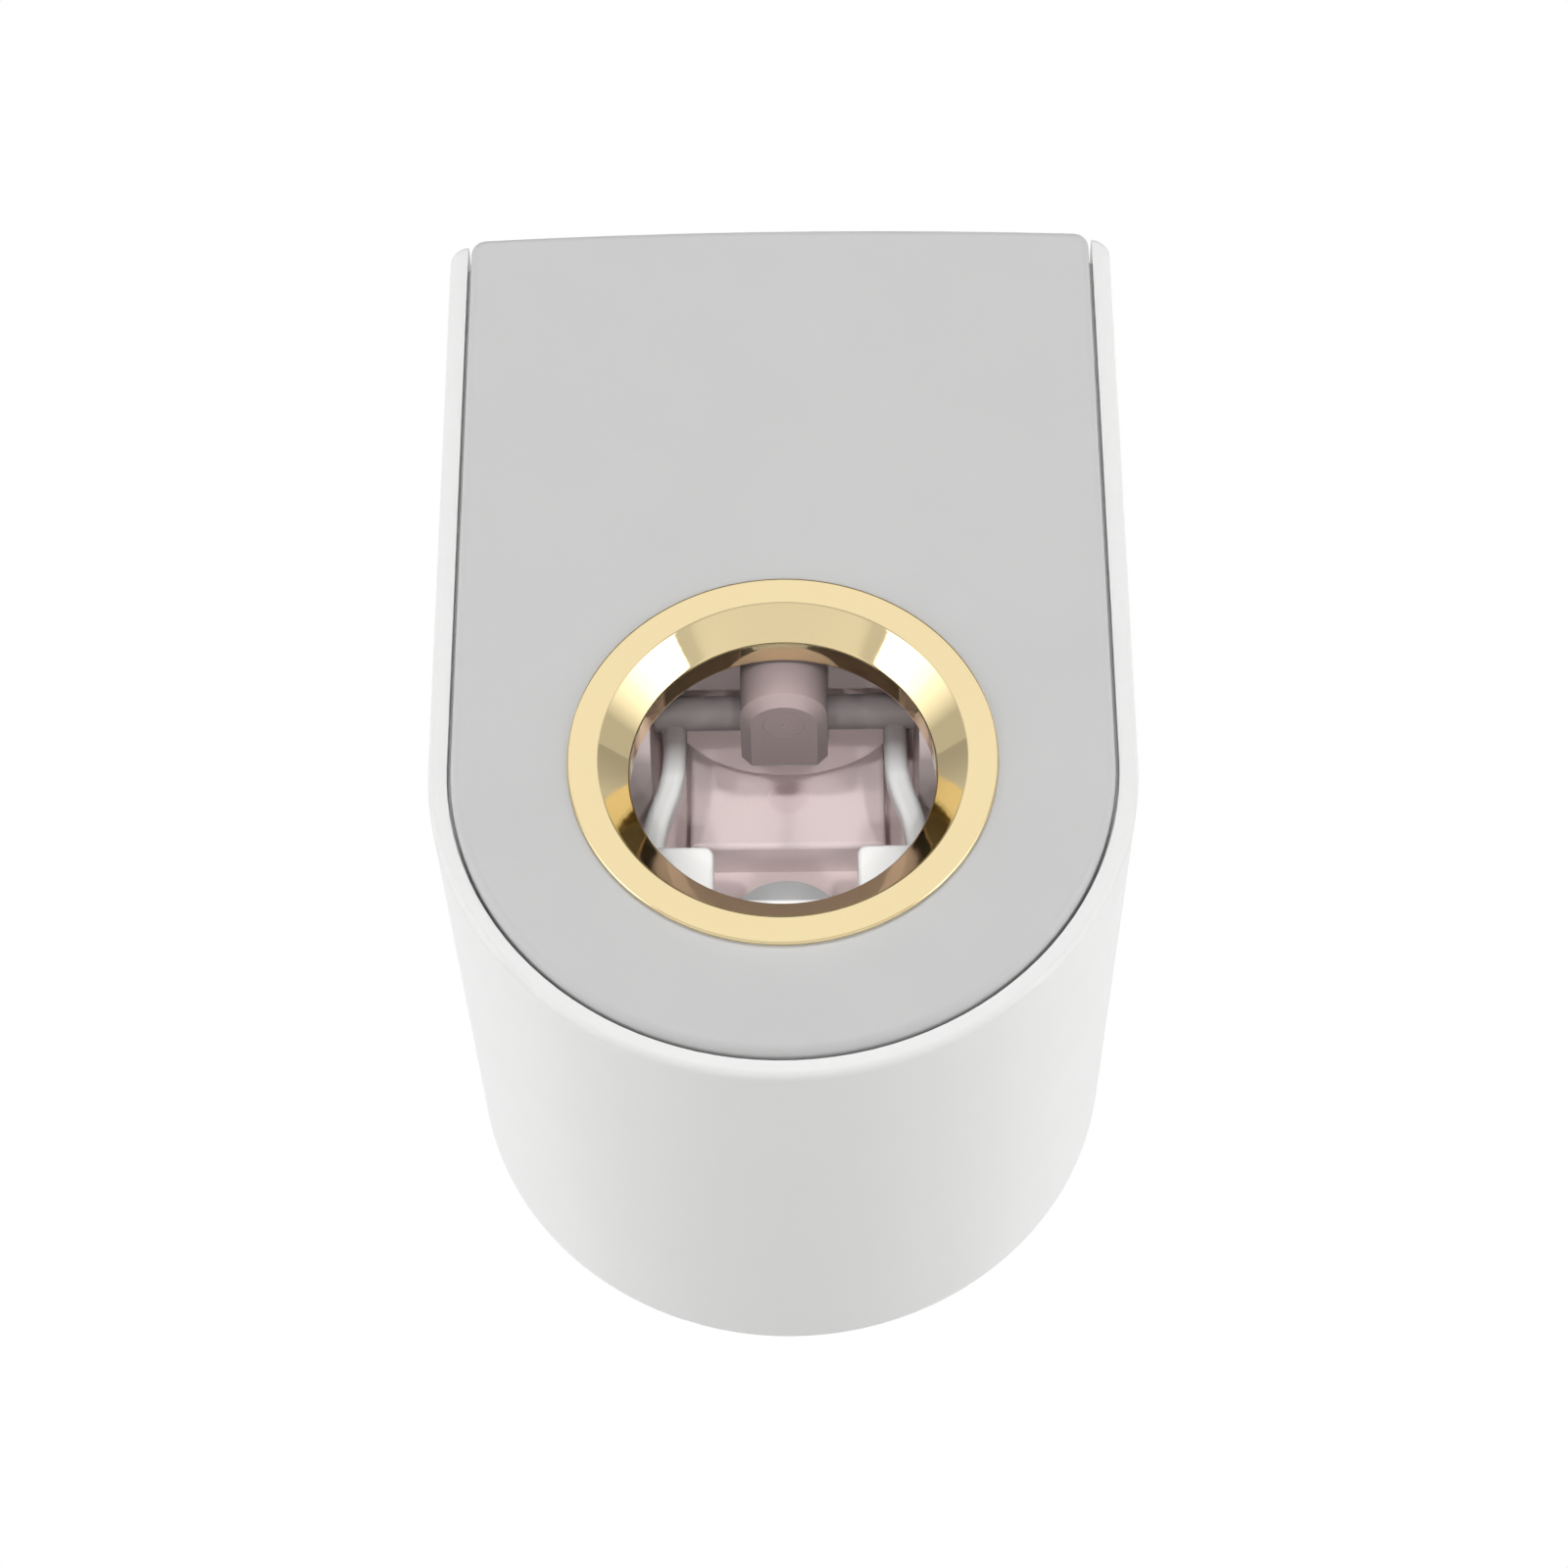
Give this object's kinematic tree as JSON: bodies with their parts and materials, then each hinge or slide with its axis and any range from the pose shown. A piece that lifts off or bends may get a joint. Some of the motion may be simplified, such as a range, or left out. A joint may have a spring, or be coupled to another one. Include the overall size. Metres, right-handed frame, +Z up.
{
  "type": "toothpaste dispenser",
  "caption": "Wall-hung arch-shaped toothpaste squeezer: a brush pushed into the gold ring swings a trigger that pumps paste from a tube held in the top.",
  "frame": {"origin": "centre of the adhesive face that lies on the wall, at mid height of the casing", "axes": "+Z up as it hangs, +Y into the wall, so the cover and its ring face -Y, and X to the right of someone facing it"},
  "size_m": [0.066, 0.06, 0.0961],
  "materials": {
    "white_plastic": "moulded, satin gloss",
    "grey_plastic": "fine moulded texture, satin",
    "gold_plating": "polished pale gold plating",
    "rose_plastic": "moulded, semi-gloss",
    "cap_plastic": "moulded, satin",
    "silicone": "soft translucent silicone",
    "steel": "bright stainless",
    "foam": "closed-cell adhesive foam"
  },
  "bodies": {
    "wall_bracket": {"wall_plate": "white_plastic", "adhesive_pad": "foam"},
    "housing": {"shell": "white_plastic", "chassis": "rose_plastic", "chassis_screws": "steel", "pump_body": "rose_plastic", "pump_screws": "steel", "pump_base": "rose_plastic", "diaphragm": "silicone", "pump_spring": "steel", "inlet_valve": "silicone", "inlet_seal": "silicone", "outlet_nozzle": "rose_plastic", "nozzle_screws": "steel", "outlet_valve": "silicone", "outlet_spout": "silicone", "pivot_pin": "steel", "pin_clips": "steel", "return_spring": "steel"},
    "trigger": {"trigger": "white_plastic"},
    "plunger": {"plunger": "white_plastic"},
    "spring_cap": {"spring_cap": "cap_plastic"},
    "cover": {"front_cover": "grey_plastic", "trim_ring": "gold_plating", "ring_retainer": "white_plastic"}
  },
  "joints": [
    {"name": "housing_lift", "type": "slide", "parent": "wall_bracket", "child": "housing", "axis": [0, 0, 1], "range_m": [0, 0.005]},
    {"name": "cover_slide", "type": "slide", "parent": "housing", "child": "cover", "axis": [0, 0, 1], "range_m": [0, 0.06]},
    {"name": "trigger_hinge", "type": "hinge", "parent": "housing", "child": "trigger", "pos_m": [0, -0.03902, 0.00385], "axis": [1, 0, 0], "range_deg": [0, 20], "stiffness_Nm_per_rad": 0.15, "springref_deg": -17.19},
    {"name": "plunger_slide", "type": "slide", "parent": "housing", "child": "plunger", "axis": [0, 0, 1], "range_m": [0, 0.00375], "deforming": ["diaphragm", "pump_spring"]},
    {"name": "spring_cap_slide", "type": "slide", "parent": "housing", "child": "spring_cap", "axis": [0, 1, 0], "range_m": [0, 0.0094], "deforming": ["return_spring"]}
  ],
  "couplings": [
    {"joint": "plunger_slide", "follows": "trigger_hinge", "m_per_rad": 0.010742},
    {"joint": "spring_cap_slide", "follows": "trigger_hinge", "m_per_rad": 0.026929}
  ]
}
